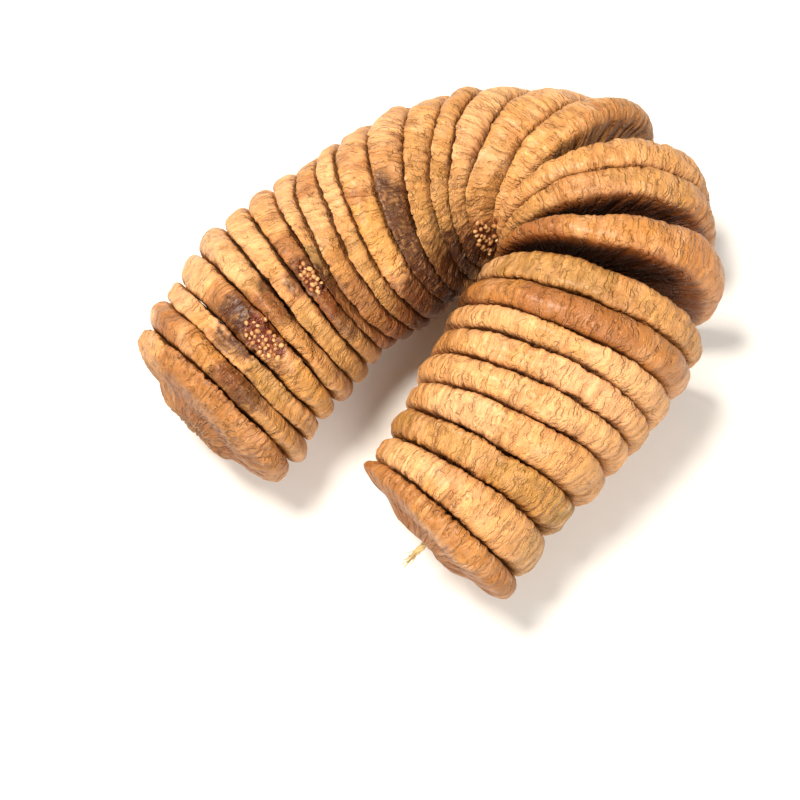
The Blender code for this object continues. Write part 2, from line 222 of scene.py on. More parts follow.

# Skin of each fig: its base, how strongly it is wrinkled, and the patches on it, each from an
# angle to an angle, with colour and strength, and -1 or 1 if it keeps to the near or far edge.
# The brown patches that run to the inner ends of figs 8, 9, 10, 11, 13 and 15 are partly the
# skin's browner colour and partly painted shade, as if these ends lay in shadow.
LOOKS = {
    1: ("tan", 1.7, ((-40, 56, "straw", 0.7), (56, 120, "amber", 0.6), (95, 130, "gold", 0.4, -1),
        (60, 190, "rust", 0.5))),
    2: ("amber", 0.9, ((4, 26, "sugar", 0.5, -1), (30, 60, "rust", 0.6), (90, 124, "plum", 0.6),
        (126, 190, "tan", 0.7))),
    3: ("straw", 1.0, ((30, 58, "peach", 0.6), (79, 86, "rust", 0.7), (90, 106, "plum", 0.5, 1),
        (106, 190, "tan", 0.6), (112, 140, "olive", 0.5))),
    4: ("honey", 1.0, ((0, 58, "cream", 0.6), (62, 118, "rust", 0.6), (72, 94, "plum", 0.6),
        (118, 134, "plum", 0.45, -1), (128, 190, "gold", 0.6))),
    5: ("tan", 0.9, ((20, 50, "peach", 0.6), (58, 72, "cream", 0.7), (83, 108, "plum", 0.75, 1),
        (84, 108, "rust", 0.6, -1), (106, 140, "amber", 0.6))),
    6: ("straw", 1.0, ((40, 78, "cream", 0.4), (-40, 40, "straw", 0.7), (98, 110, "rose", 0.7),
        (110, 190, "olive", 0.5), (78, 88, "honey", 0.5))),
    7: ("straw", 1.0, ((72, 96, "rust", 0.75), (96, 126, "plum", 0.6), (122, 146, "plum", 0.75),
        (146, 190, "tan", 0.8), (30, 44, "honey", 0.5))),
    8: ("straw", 1.0, ((20, 70, "peach", 0.5), (78, 90, "rose", 0.3), (88, 110, "grey", 0.8),
        (110, 138, "plum", 0.65, -1), (112, 190, "brown", 0.6))),
    9: ("tan", 1.0, ((-40, 30, "straw", 0.6), (44, 56, "rose", 0.8), (57, 84, "cream", 0.6),
        (98, 116, "amber", 0.6), (118, 190, "brown", 0.55))),
    10: ("straw", 1.0, ((46, 84, "cream", 0.5), (84, 97, "rose", 0.4), (97, 190, "olive", 0.5),
        (140, 190, "brown", 0.4))),
    11: ("straw", 1.0, ((-40, 20, "rust", 0.6), (56, 64, "rust", 0.6), (81, 88, "rust", 0.6),
        (90, 130, "gold", 0.7), (138, 190, "brown", 0.6))),
    12: ("straw", 1.1, ((-40, 18, "amber", 0.3), (30, 60, "cream", 0.5), (62, 78, "rust", 0.35),
        (80, 92, "brown", 0.4), (90, 190, "plum", 0.92))),
    13: ("honey", 1.1, ((0, 50, "straw", 0.5), (60, 110, "tan", 0.5), (110, 150, "grey", 0.35),
        (150, 190, "brown", 0.7))),
    14: ("honey", 1.0, ((44, 70, "amber", 0.4), (98, 144, "olive", 0.35),
        (142, 190, "plum", 0.75))),
    15: ("straw", 1.1, ((0, 60, "cream", 0.6), (66, 100, "peach", 0.5), (106, 150, "grey", 0.3),
        (150, 190, "brown", 0.6))),
    16: ("honey", 1.0, ((0, 50, "peach", 0.7), (109, 115, "sugar", 0.5), (99, 150, "tan", 0.6),
        (150, 164, "rust", 0.6), (160, 190, "plum", 0.6))),
    17: ("honey", 1.1, ((0, 50, "amber", 0.6), (20, 78, "brown", 0.25, 1),
        (78, 110, "amber", 0.4, 1))),
    18: ("honey", 1.3, ((20, 80, "straw", 0.5), (90, 110, "amber", 0.35),
        (120, 190, "straw", 0.4))),
    19: ("tan", 1.0, ((-40, 40, "rose", 0.5), (50, 80, "honey", 0.5), (96, 120, "rose", 0.5),
        (120, 190, "honey", 0.6))),
    20: ("amber", 0.9, ((40, 110, "rust", 0.25), (-40, 50, "rose", 0.5), (70, 100, "amber", 0.5),
        (116, 170, "rust", 0.7))),
    21: ("tan", 1.1, ((0, 70, "honey", 0.5), (60, 100, "brown", 0.25, 1), (80, 150, "olive", 0.4),
        (148, 190, "cream", 0.7))),
    22: ("amber", 0.6, ((20, 64, "rust", 0.4), (60, 120, "rust", 0.75), (130, 190, "rust", 0.3))),
    23: ("straw", 0.8, ((36, 80, "cream", 0.45), (104, 150, "cream", 0.35),
        (84, 104, "olive", 0.35), (-40, 20, "honey", 0.5))),
    24: ("straw", 1.1, ((40, 90, "peach", 0.6), (110, 140, "cream", 0.3), (150, 190, "amber", 0.6),
        (-40, 20, "tan", 0.5))),
    25: ("straw", 1.0, ((40, 80, "cream", 0.4), (90, 140, "cream", 0.4), (-40, 20, "honey", 0.5))),
    26: ("straw", 1.0, ((10, 60, "honey", 0.7), (90, 140, "cream", 0.7), (100, 130, "peach", 0.5),
        (-40, 20, "tan", 0.6), (150, 190, "honey", 0.5))),
    27: ("olive", 1.5, ((30, 80, "gold", 0.6), (80, 140, "straw", 0.5), (146, 190, "tan", 0.7))),
    28: ("straw", 1.1, ((-40, 30, "grey", 0.5), (40, 70, "honey", 0.5), (110, 150, "cream", 0.5),
        (150, 190, "honey", 0.5))),
    29: ("amber", 1.2, ((-40, 50, "brown", 0.35), (60, 110, "rust", 0.2),
        (110, 190, "rust", 0.45))),
}

# Mottles of every skin: colour, strength, squeeze across the rim, part of the noise, size, and the
# noise values between which they set in.
MOTTLES = (
    ("peach", 0.5, 1.0, 60.0, 5.0, 0.05, 0.5),
    ("gold", 0.45, 1.0, 80.0, 7.0, 0.1, 0.6),
    ("rose", 0.4, 0.35, 33.0, 3.6, 0.15, 0.6),
    ("rust", 0.45, 0.35, 99.0, 3.0, 0.25, 0.7),
    ("cream", 0.35, 0.35, 17.0, 2.4, 0.2, 0.6),
)

# Juice stains that run over neighbouring figs: fig, angle, reach in mm, colour and strength.
STAINS = (
    (4, 98.0, 8.5, "plum", 0.75), (4, 86.0, 5.5, "plum", 0.8), (3, 88.0, 4.0, "plum", 0.7),
    (5, 96.0, 5.0, "rust", 0.7), (7, 104.0, 6.5, "plum", 0.8), (8, 116.0, 6.0, "plum", 0.7),
    (7, 124.0, 5.0, "brown", 0.8), (2, 112.0, 6.0, "plum", 0.6), (2, 100.0, 5.0, "brown", 0.6),
    (16, 172.0, 7.0, "rust", 0.8), (14, 166.0, 9.0, "plum", 0.8), (12, 165.0, 16.0, "plum", 0.7),
    (10, 176.0, 13.0, "brown", 0.6), (20, 138.0, 6.0, "rust", 0.6), (9, 58.0, 3.0, "rust", 0.6),
    (11, 84.0, 3.0, "rust", 0.6),
)

# Strengths of what is painted over the patches: sugar dust on the stains, browner edges and
# furrows that are partly the skin's own colour and partly painted shade, painted shade in the
# gaps, and the flesh.
DUST = 0.4
EDGE_RUST_AND_SHADE = 0.5
FURROW_BROWN_AND_SHADE = 0.45
GAP_SHADE_BROWN = 0.8
GAP_SHADE_PLUM = 0.9
FLESH = 0.9

# Roughness of each skin, by the record's slots, and the slot of each fig, from fig 1 on. A skin
# with more sugar on it is duller.
SKIN_ROUGHNESS = {
    "honey": 0.48, "rust": 0.44, "straw": 0.52, "amber": 0.45, "tan": 0.5, "cream": 0.54,
    "olive": 0.5,
}
SLOT_OF = ("honey rust straw amber tan cream straw straw straw straw tan olive honey olive "
           "cream honey amber honey rust rust olive rust straw straw straw cream olive cream "
           "tan").split()

# Fine detail of the skin in the shader, as noise scales per mm. Streaks of 1.1 mm, creases of
# 2.4 mm and lines of 0.9 mm are five times as long across the rim. Real pores are about 0.1 mm.
# They are drawn coarser, at 0.4 mm, so that they show.
SCALES = {
    "swerve": 0.4, "mottle": 0.35, "streak": 0.9, "crease": 0.42, "line": 1.1, "pores": 2.4,
}
SHADER_SQUEEZE = (1, 1, 0.21)
SWERVE = (2.2, 2.2, 2.2)
CREASE_WIDTH = 0.055
LINE_WIDTH = 0.1
LINE_SHARE = 0.4
# Tint and share of the creases' darkening: partly the skin's own colour, partly painted shade.
CREASE_SHADE_TINT = (0.46, 0.3, 0.2)
CREASE_SHADE_SHARE = 0.15
PORE_HEIGHT = 0.3
BUMP_DEPTH = 0.0005
SYRUP_ROUGHNESS = 0.28

STRING_COLOUR = "#c9ae78"
PAPER_COLOUR = "#f4f4f2"


def linear(code):
    """A colour written as sRGB hex, as the shader wants it."""
    parts = [int(code[place:place + 2], 16) / 255 for place in (1, 3, 5)]
    return np.array([p / 12.92 if p <= 0.04045 else ((p + 0.055) / 1.055) ** 2.4 for p in parts])


def unit(vector):
    return vector / np.linalg.norm(vector)


def soft(value, low, high):
    """0 below low, 1 above high, smooth between."""
    share = np.clip((value - low) / (high - low), 0.0, 1.0)
    return share * share * (3.0 - 2.0 * share)


def any_way(chance):
    """A random way, more often level than steep."""
    return np.array([chance.gauss(0, 1), chance.gauss(0, 1), chance.gauss(0, 0.6)])


class Noise:
    """Smooth gradient noise in space, about -1 to 1.

    A number added to the places only moves them to another part of the same noise.
    """

    SPREAD = 1.6

    def __init__(self, seed):
        chance = np.random.default_rng(seed)
        self.order = np.tile(chance.permutation(256), 2)
        slopes = chance.normal(size=(256, 3))
        self.slopes = slopes / np.linalg.norm(slopes, axis=1, keepdims=True)

    def __call__(self, places, size):
        scaled = np.asarray(places) / size
        whole = np.floor(scaled).astype(int)
        part = scaled - whole
        fade = part ** 3 * (part * (part * 6 - 15) + 10)
        total = np.zeros(part.shape[:-1])
        for corner in range(8):
            step = np.array([corner & 1, corner >> 1 & 1, corner >> 2 & 1])
            at = (whole + step) & 255
            slot = self.order[self.order[self.order[at[..., 0]] + at[..., 1]] + at[..., 2]]
            weight = np.prod(np.where(step == 1, fade, 1 - fade), axis=-1)
            total += weight * np.sum(self.slopes[slot] * (part - step), axis=-1)
        return self.SPREAD * total


LUMPS = Noise(1)
CREASES = Noise(2)
TONES = Noise(3)
WAVES = Noise(4)


def groove(places, size, width):
    """1 along the lines where the crease noise is zero, and 0 away from them."""
    return np.exp(-(CREASES(places, size) / width) ** 2)


def drift(points):
    """A slow sideways wander that neighbours share, so that the grooves between them wave."""
    free = soft(points[..., 2], *WANDER_HEIGHTS)[..., None]
    wander = np.zeros(points.shape)
    for axis, moved in ((0, points), (1, points + 71.0)):
        slow = SLOW_WANDER[0] * WAVES(moved, SLOW_WANDER[1])
        wander[..., axis] = slow + SHORT_WANDER[0] * WAVES(moved + 33.0, SHORT_WANDER[1])
    return points + wander * free


def mesh_points(node):
    """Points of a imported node, in millimetres."""
    points = np.zeros(len(node.data.vertices) * 3)
    node.data.vertices.foreach_get("co", points)
    return points.reshape(-1, 3) / MM


class Disc:
    """One packed fig read back: its directions, its face planes, its outline and its hole.

    In its own directions a point is given as out, up and depth, from the disc's middle.
    """

    def __init__(self, node, onward):
        points = mesh_points(node)
        normals = np.zeros(len(node.data.polygons) * 3)
        areas = np.zeros(len(node.data.polygons))
        node.data.polygons.foreach_get("normal", normals)
        node.data.polygons.foreach_get("area", areas)
        normals = normals.reshape(-1, 3)
        self.along = np.linalg.eigh((normals * areas[:, None]).T @ normals)[1][:, -1]
        if self.along @ onward < 0:
            self.along = -self.along
        self.outward = unit(np.array([-self.along[1], self.along[0], 0.0]))
        self.upward = np.cross(self.along, self.outward)
        self.axes = np.stack([self.outward, self.upward, self.along])
        flat = points @ self.axes.T
        middle = (flat.min(axis=0) + flat.max(axis=0)) / 2
        self.centre = middle @ self.axes
        flat = flat - middle
        reach = np.hypot(flat[:, 0], flat[:, 1])
        self.near = self.face_plane(flat, reach, -1)
        self.far = self.face_plane(flat, reach, 1)
        hole = reach < HOLE_WITHIN
        self.near_hole = flat[hole & (flat[:, 2] < 0)].mean(axis=0)
        self.far_hole = flat[hole & (flat[:, 2] > 0)].mean(axis=0)
        self.waves = self.outline(node)

    def face_plane(self, flat, reach, side):
        """Plane through the outermost points of one face's edge, one for each sector."""
        edge = flat[reach > EDGE_BEYOND]
        sector = (np.degrees(np.arctan2(edge[:, 1], edge[:, 0])) // SECTOR).astype(int)
        rows = []
        for number in np.unique(sector):
            group = edge[sector == number]
            rows.append(group[np.argmax(group[:, 2] * side)])
        rows = np.array(rows)
        left = np.column_stack([np.ones(len(rows)), rows[:, 0], rows[:, 1]])
        return np.linalg.lstsq(left, rows[:, 2], rcond=None)[0]

    def outline(self, node):
        """Waves that give the crest's distance from the middle at any angle."""
        tree = BVHTree.FromObject(node, bpy.context.evaluated_depsgraph_get())
        angles, reaches = [], []
        for step in range(RAYS):
            angle = math.tau * step / RAYS
            out, up = math.cos(angle), math.sin(angle)
            depth = self.depth(self.near, RIM_RADIUS * out, RIM_RADIUS * up) * 0.5
            depth += self.depth(self.far, RIM_RADIUS * out, RIM_RADIUS * up) * 0.5
            start = self.place(RAY_START * out, RAY_START * up, depth)
            way = -(out * self.outward + up * self.upward)
            hit = tree.ray_cast(Vector(start * MM), Vector(way))[0]
            if hit is not None and hit.z > RAY_LOWEST * MM:
                angles.append(angle)
                reaches.append(RAY_START - np.linalg.norm(np.array(hit) / MM - start))
        angles = np.array(angles)
        reaches = np.array(reaches)
        keep = np.ones(len(angles), bool)
        for _ in range(3):
            waves = np.linalg.lstsq(self.wave_terms(angles[keep]), reaches[keep], rcond=None)[0]
            keep = np.abs(reaches - self.wave_terms(angles) @ waves) < WAVES_WITHIN
        return waves

    def swell(self, following, shares):
        """Moves the far face towards the next fig by shares of the wedge between them."""
        spots = WEDGE_REACH * np.array([(1.0, 0.0), (0.0, 1.0), (-1.0, 0.0)])
        gaps = []
        for (out, up), share in zip(spots, shares):
            start = self.place(out, up, self.depth(self.far, out, up))
            flat = (start - following.centre) @ following.axes.T
            gaps.append(max(self.gap_to(following, flat), 0.0) * share)
        left = np.column_stack([np.ones(3), spots])
        self.far = self.far + np.linalg.solve(left, np.array(gaps))

    def gap_to(self, following, flat):
        """Distance from a point, given in the next fig's directions, to its near face."""
        slope = np.array([-following.near[1], -following.near[2], 1.0])
        tilt = slope @ (following.axes @ self.along)
        return (self.depth(following.near, flat[0], flat[1]) - flat[2]) / tilt

    def half_step(self, other, plane, turn, crest):
        """Half of how much further out a neighbour's rim lies where it meets this face plane."""
        if other is None:
            return np.zeros_like(crest)
        cos, sin = np.cos(turn), np.sin(turn)
        reach = crest
        for _ in range(3):
            depth = self.depth(plane, reach * cos, reach * sin)
            away = self.place(reach * cos, reach * sin, depth) - other.centre
            out, up = away @ other.outward, away @ other.upward
            reach = reach + other.wave_terms(np.arctan2(up, out)) @ other.waves - np.hypot(out, up)
        return np.clip(reach - crest, -STEP_LIMIT, STEP_LIMIT) / 2

    @staticmethod
    def wave_terms(angles):
        terms = [np.ones_like(angles)]
        for count in range(1, WAVES_ROUND + 1):
            terms += [np.cos(count * angles), np.sin(count * angles)]
        return np.stack(terms, axis=-1)

    @staticmethod
    def depth(plane, out, up):
        """Depth of a face plane at a place."""
        return plane[0] + plane[1] * out + plane[2] * up

    def place(self, out, up, depth):
        """A point of the disc, in the frame."""
        return self.centre + np.stack(np.broadcast_arrays(out, up, depth), axis=-1) @ self.axes


def grid_angles():
    fine = np.linspace(FINE_FROM, FINE_TO, FINE_STEPS, endpoint=False)
    wide = np.linspace(FINE_TO, FINE_FROM + 360.0, WIDE_STEPS, endpoint=False)
    return np.concatenate([fine, wide])


class Skin:
    """The wrinkled surface of one fig as rows of points from the near hole to the far hole."""

    def __init__(self, number, discs):
        self.number = number
        self.disc = discs[number - 1]
        self.before = discs[number - 2] if number > 1 and number not in BARE_NEAR else None
        self.after = discs[number] if number < FIG_COUNT and number not in BARE_FAR else None
        self.arm = 0 if number in LEFT_ARM else 1
        self.base, self.wrinkle, self.patches = LOOKS[number]
        self.angle = grid_angles()
        self.turn = np.radians(self.angle)
        self.cos, self.sin = np.cos(self.turn), np.sin(self.turn)
        self.shape_rows()
        self.wrinkle_rows()
        self.crack_rows()
        self.tear_rows()
        self.surface = self.points()

    def shape_rows(self):
        """Rows before any wrinkle, with each one's tilt, place across and way to the hole."""
        disc, cos, sin = self.disc, self.cos, self.sin
        crest = disc.wave_terms(self.turn) @ disc.waves
        thick = disc.depth(disc.far, crest * cos, crest * sin)
        thick -= disc.depth(disc.near, crest * cos, crest * sin)
        outer = soft(cos, *OUTER_END)
        shoulder = np.clip(SHOULDER_SHARES[self.arm] * thick, *SHOULDER_LIMITS)
        shoulder = shoulder + SHOULDER_AT_ENDS * thick * soft(np.abs(cos), *BOTH_ENDS)
        meet_before = disc.half_step(self.before, disc.near, self.turn, crest)
        meet_after = disc.half_step(self.after, disc.far, self.turn, crest)
        rim = []
        for tilt in np.radians(np.linspace(-90.0, 90.0, RIM_ROWS)):
            side = (self.number, int(np.sign(tilt)))
            bend = OPEN_EDGE if side in ROUNDED else CLOSED_EDGE
            across = np.sign(math.sin(tilt)) * abs(math.sin(tilt)) ** bend
            over = max(math.cos(tilt), 0.0) ** bend
            width = shoulder
            if side in ROUNDED:
                width = ROUNDED[side][0] * outer + ROUNDED[side][1] * (1 - outer)
            meet = meet_after * max(across, 0.0) + meet_before * max(-across, 0.0)
            reach = crest + meet - width * (1 - over)
            low = disc.depth(disc.near, reach * cos, reach * sin)
            high = disc.depth(disc.far, reach * cos, reach * sin)
            depth = low + (high - low) * (1 + across) / 2
            flat = np.stack([reach * cos, reach * sin, depth], axis=-1)
            rim.append((flat, tilt, across, 0.0))
        near = self.face_rows(rim[0][0], disc.near_hole, disc.near, BARE_NEAR, -1)
        far = self.face_rows(rim[-1][0], disc.far_hole, disc.far, BARE_FAR, 1)
        rows = near[::-1] + rim + far
        self.flat = np.array([row[0] for row in rows])
        self.tilt, self.across, self.inset = np.array([row[1:] for row in rows]).T[..., None]
        steps = np.linalg.norm(np.diff(self.flat, axis=0), axis=-1)
        girth = np.concatenate([np.zeros((1, steps.shape[1])), np.cumsum(steps, axis=0)])
        self.girth = girth - girth[len(near) + RIM_ROWS // 2]

    def face_rows(self, edge, hole, plane, bare, side):
        """Rows from a rim's edge to the hole, bulged or dished where the face stands open."""
        shares = CLOSED_ROWS
        if self.number in bare:
            shares = np.linspace(0.0, 1.0, BARE_ROWS + 1)[1:]
        ring = np.stack([self.cos, self.sin], axis=-1) * HOLE_RADIUS + hole[:2]
        rows = []
        for share in shares:
            flat = edge.copy()
            flat[:, :2] = edge[:, :2] * (1 - share) + ring * share
            flat[:, 2] = self.disc.depth(plane, flat[:, 0], flat[:, 1])
            dome = soft(share, 0.0, BULGE[0]) * (1 - soft(share, BULGE[1], 1.0))
            flat[:, 2] += side * bare.get(self.number, 0.0) * dome
            rows.append((flat, side * math.pi / 2, side * 1.0, share))
        return rows

    def wrinkle_rows(self):
        """Lumps, wrinkles that run across the rim, and puckers at its edges, as a rise in mm."""
        ring = np.stack([self.cos, self.sin], axis=-1) * RIM_RADIUS
        ring = np.broadcast_to(ring, self.flat.shape[:2] + (2,))
        grain = np.concatenate([ring, self.girth[..., None]], axis=-1)
        grain = grain + self.number * FIG_SPACING
        swerve = SWERVE_REACH * LUMPS(grain, SWERVE_SIZE)[..., None]
        bent = grain * SQUEEZE + swerve
        fold = groove(bent, *FOLD)
        crease = groove(bent + 90.0, *CREASE)
        lump = LUMP_RISES[0] * LUMPS(grain, LUMP_SIZES[0])
        lump += LUMP_RISES[1] * LUMPS(grain + 40.0, LUMP_SIZES[1])
        if self.number in NETTED:
            net = grain + NET_SWERVE_REACH * LUMPS(grain, NET_SWERVE_SIZE)[..., None]
            fold = groove(net, *NET_FOLD)
            crease = groove(net + 70.0, *NET_CREASE)
            lump += NET_SWELL * CREASES(grain, NET_FOLD[0])
        strength = STRENGTH_MEAN + STRENGTH_SWING * TONES(grain, STRENGTH_SIZE)
        strength = self.wrinkle * strength
        ripple = RIPPLE_RISE * CREASES(bent, RIPPLE_SIZE)
        rise = lump + strength * (-FOLD_DEPTH * fold - CREASE_DEPTH * crease + ripple)
        pucker = soft(np.abs(self.across), 0.5, 1.0) * np.cos(self.inset * math.pi / 2)
        pucker = pucker * soft(CREASES(bent + 50.0, PUCKER_SIZE), 0.0, 0.5)
        self.rise = rise - PUCKER_DEPTHS[self.arm] * pucker
        self.furrow = np.clip(strength * (0.7 * fold + 0.4 * crease), 0.0, 1.0)
        self.grain = grain

    def crack_rows(self):
        """A few deeper cracks across the rim."""
        chance = random.Random(self.number)
        for _ in range(chance.randint(*CRACK_COUNT)):
            wander = CRACK_WANDER[0] * CREASES(self.grain + 9.0, CRACK_WANDER[1])
            middle = chance.uniform(*CRACK_ANGLES) + wander
            slant = chance.uniform(-CRACK_SLANT, CRACK_SLANT) * self.girth
            away = (self.angle + slant - middle) * math.radians(RIM_RADIUS)
            crack = np.exp(-(away / CRACK_WIDTH) ** 2)
            crack = crack * soft(TONES(self.grain + 5.0, 5.0), -0.5, 0.2)
            self.rise = self.rise - CRACK_DEPTH * crack
            self.furrow = np.maximum(self.furrow, crack)

    def tear_rows(self):
        """Torn patches: ragged, with a raised lip round lumpy flesh."""
        self.torn = np.zeros(self.rise.shape)
        for number, middle, half, width, place, _, lift in TORN:
            if number != self.number:
                continue
            along = self.angle - middle + TEAR_ALONG[0] * CREASES(self.grain, TEAR_ALONG[1])
            wander = TEAR_ACROSS[0] * CREASES(self.grain + 20.0, TEAR_ACROSS[1])
            sideways = (self.across - place + wander) / width / 2
            within = 1.0 - np.hypot(along / half, sideways)
            inside = soft(within, 0.0, 0.28) * (self.inset < 0.01)
            flesh = lift + FLESH_RISE * LUMPS(self.grain, FLESH_SIZE)
            lip = soft(within, -0.25, 0.0) * (1 - inside)
            self.rise = self.rise * (1 - inside) + flesh * inside + LIP_RISE * lip
            self.torn = inside

    def points(self):
        """The surface in the frame, in millimetres."""
        disc = self.disc
        push = self.rise * np.cos(self.tilt)
        fade = 1.0 - soft(self.inset, 0.75, 1.0)
        flat = self.flat.copy()
        flat[..., 0] += push * self.cos
        flat[..., 1] += push * self.sin
        flat[..., 2] += self.rise * np.sin(self.tilt) * fade
        low = disc.depth(disc.near, flat[..., 0], flat[..., 1]) - PRESSED_ROOM
        high = disc.depth(disc.far, flat[..., 0], flat[..., 1]) + PRESSED_ROOM
        room = OPEN_ROOM * soft(self.inset, 0.0, 0.15)
        if self.number in BARE_NEAR:
            low = low - room
        if self.number in BARE_FAR:
            high = high + room
        flat[..., 2] = np.clip(flat[..., 2], low, high)
        points = drift(disc.place(flat[..., 0], flat[..., 1], flat[..., 2]))
        points[..., 2] = np.maximum(points[..., 2], LOWEST)
        return points

    def spot(self, angle, across=0.0):
        """Row and column of the rim's point nearest to a place on it."""
        column = int(round((angle - FINE_FROM) / (FINE_TO - FINE_FROM) * FINE_STEPS))
        row = int(np.argmin(np.abs(self.across[:, 0] - across) + self.inset[:, 0]))
        return row, column

    def blend(self, name, amount):
        """Lays a colour over the paint."""
        share = np.clip(amount, 0.0, 1.0)[..., None]
        self.paint = self.paint * (1 - share) + linear(PALETTE[name]) * share

    def paint_rows(self, stains):
        """Skin colour: base, mottles, patches with wandering edges, stains, and darker places."""
        grain = self.grain
        self.paint = np.broadcast_to(linear(PALETTE[self.base]), self.flat.shape)
        for name, strength, squeeze, part, size, low, high in MOTTLES:
            tones = TONES(grain * np.array([1.0, 1.0, squeeze]) + part, size)
            self.blend(name, strength * soft(tones, low, high))
        dark = np.zeros(self.torn.shape)
        angle = self.angle + 9.0 * TONES(grain, 7.0) + 5.0 * TONES(grain + 15.0, 2.6)
        for start, end, name, strength, *side in self.patches:
            amount = soft(angle, start - 5.0, start + 5.0) * soft(-angle, -end - 5.0, 5.0 - end)
            if side:
                sideways = side[0] * (self.across + 0.4 * TONES(grain, 3.0))
                amount = amount * soft(sideways, -0.2, 0.4)
            self.blend(name, strength * amount)
            if name == "plum":
                dark = np.maximum(dark, amount)
        ragged = 0.35 * TONES(grain + 5.0, 2.5) + 0.2 * TONES(grain, 1.0)
        for middle, reach, name, strength in stains:
            away = np.linalg.norm(self.surface - middle, axis=-1) / reach + ragged
            amount = soft(1.0 - away, 0.0, 0.45)
            self.blend(name, strength * amount)
            if name == "plum":
                dark = np.maximum(dark, amount)
        dust = soft(TONES(grain + 3.0, 0.9) + 0.5 * TONES(grain, 3.0), 0.25, 0.6)
        self.blend("tan", DUST * dark * dust)
        self.paint_edges()
        self.blend("flesh", FLESH * self.torn)

    def paint_edges(self):
        """Browner edges and furrows, partly painted shade, and painted shade in the gaps."""
        edge = np.abs(self.across)
        plain = 1.0 - soft(self.angle, 90.0, 130.0) if self.number in BEND else 1.0
        # Rust towards the rim's edges, where it meets the grooves between figs: partly the skin's
        # own colour, partly painted shade.
        self.blend("rust", EDGE_RUST_AND_SHADE * edge ** 8 * (1 - 0.5 * self.inset) * plain)
        # Brown in the furrows and cracks, more towards the rim's edges: partly the skin's own
        # colour, partly painted shade in the creases.
        self.blend("brown", FURROW_BROWN_AND_SHADE * self.furrow * (0.5 + 0.5 * edge * plain))
        # Painted shade: open faces in a narrow gap get brown and plum, less towards the outer end
        # where the gap opens.
        for side, bare in ((-1, BARE_NEAR), (1, BARE_FAR)):
            if self.number in bare and self.number not in LIT_FACES:
                inward = side * self.across + self.inset
                hidden = 1.0 - 0.8 * soft(self.cos, 0.78, 0.97)
                self.blend("brown", GAP_SHADE_BROWN * soft(inward, 0.8, 1.0))
                self.blend("plum", GAP_SHADE_PLUM * hidden * soft(inward, 0.98, 1.12))


def new_mesh(name, points, faces):
    """A smooth mesh, in metres, from points in millimetres and faces of one size."""
    mesh = bpy.data.meshes.new(name)
    mesh.vertices.add(len(points))
    mesh.vertices.foreach_set("co", (points * MM).ravel())
    mesh.loops.add(faces.size)
    mesh.loops.foreach_set("vertex_index", faces.ravel().astype(np.int32))
    mesh.polygons.add(len(faces))
    starts = np.arange(0, faces.size, faces.shape[1], dtype=np.int32)
    mesh.polygons.foreach_set("loop_start", starts)
    mesh.update(calc_edges=True)
    mesh.shade_smooth()
    return mesh


def closed_grid(rows, columns, wrap_rows):
    """Quads of a grid that closes round its columns and, if asked, round its rows."""
    row = np.arange(rows if wrap_rows else rows - 1)[:, None]
    column = np.arange(columns)[None, :]
    below, beside = (row + 1) % rows, (column + 1) % columns
    corners = (row * columns + column, row * columns + beside, below * columns + beside,
               below * columns + column)
    return np.stack(corners, axis=-1).reshape(-1, 4)


def capped_rings(count, sides):
    """Triangles over rings of points and over the two end points that follow them."""
    quads = closed_grid(count, sides, False)
    step = np.arange(sides)
    after = (step + 1) % sides
    end, last = count * sides, (count - 1) * sides
    first = np.stack([np.full(sides, end), after, step], axis=-1)
    other = np.stack([np.full(sides, end + 1), last + step, last + after], axis=-1)
    return np.concatenate([quads[:, [0, 1, 2]], quads[:, [0, 2, 3]], first, other])


def joined(parts):
    """Points and triangles of several parts as those of one mesh."""
    points, triangles, count = [], [], 0
    for part, faces in parts:
        points.append(part)
        triangles.append(faces + count)
        count += len(part)
    return np.concatenate(points), np.concatenate(triangles)


def add_piece(name, mesh, material, node):
    piece = bpy.data.objects.new(name, mesh)
    bpy.context.scene.collection.objects.link(piece)
    mesh.materials.append(material)
    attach(piece, "root")
    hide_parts(node)
    return piece


def add_attribute(mesh, name, kind, values):
    field = {"FLOAT_COLOR": "color", "FLOAT_VECTOR": "vector", "FLOAT": "value"}[kind]
    attribute = mesh.attributes.new(name, kind, "POINT")
    attribute.data.foreach_set(field, values.astype(np.float32).ravel())


def add_fig(skin, material):
    points = skin.surface
    rows, columns = points.shape[:2]
    name = f"pressed_fig_{skin.number:02d}"
    mesh = new_mesh(name, points.reshape(-1, 3), closed_grid(rows, columns, True))
    paint = np.concatenate([skin.paint, np.ones((rows, columns, 1))], axis=-1)
    add_attribute(mesh, "paint", "FLOAT_COLOR", paint)
    add_attribute(mesh, "grain", "FLOAT_VECTOR", skin.grain)
    add_attribute(mesh, "torn", "FLOAT", skin.torn)
    return add_piece(name, mesh, material, f"fig_{skin.number:02d}")


def seed_shape():
    """A small round seed, a little longer than wide, as points and triangles."""
    rings = []
    turn = np.arange(SEED_SIDES) * math.tau / SEED_SIDES
    for row in range(SEED_ROWS):
        tilt = math.pi * (row + 0.5) / SEED_ROWS - math.pi / 2
        wide = math.cos(tilt) * (1.0 - 0.12 * math.sin(tilt))
        tall = np.full(SEED_SIDES, 1.22 * math.sin(tilt))
        rings.append(np.stack([np.cos(turn) * wide, np.sin(turn) * wide, tall], axis=-1))
    points = np.concatenate(rings + [[[0, 0, -1.25], [0, 0, 1.25]]])
    return points, capped_rings(SEED_ROWS, SEED_SIDES)


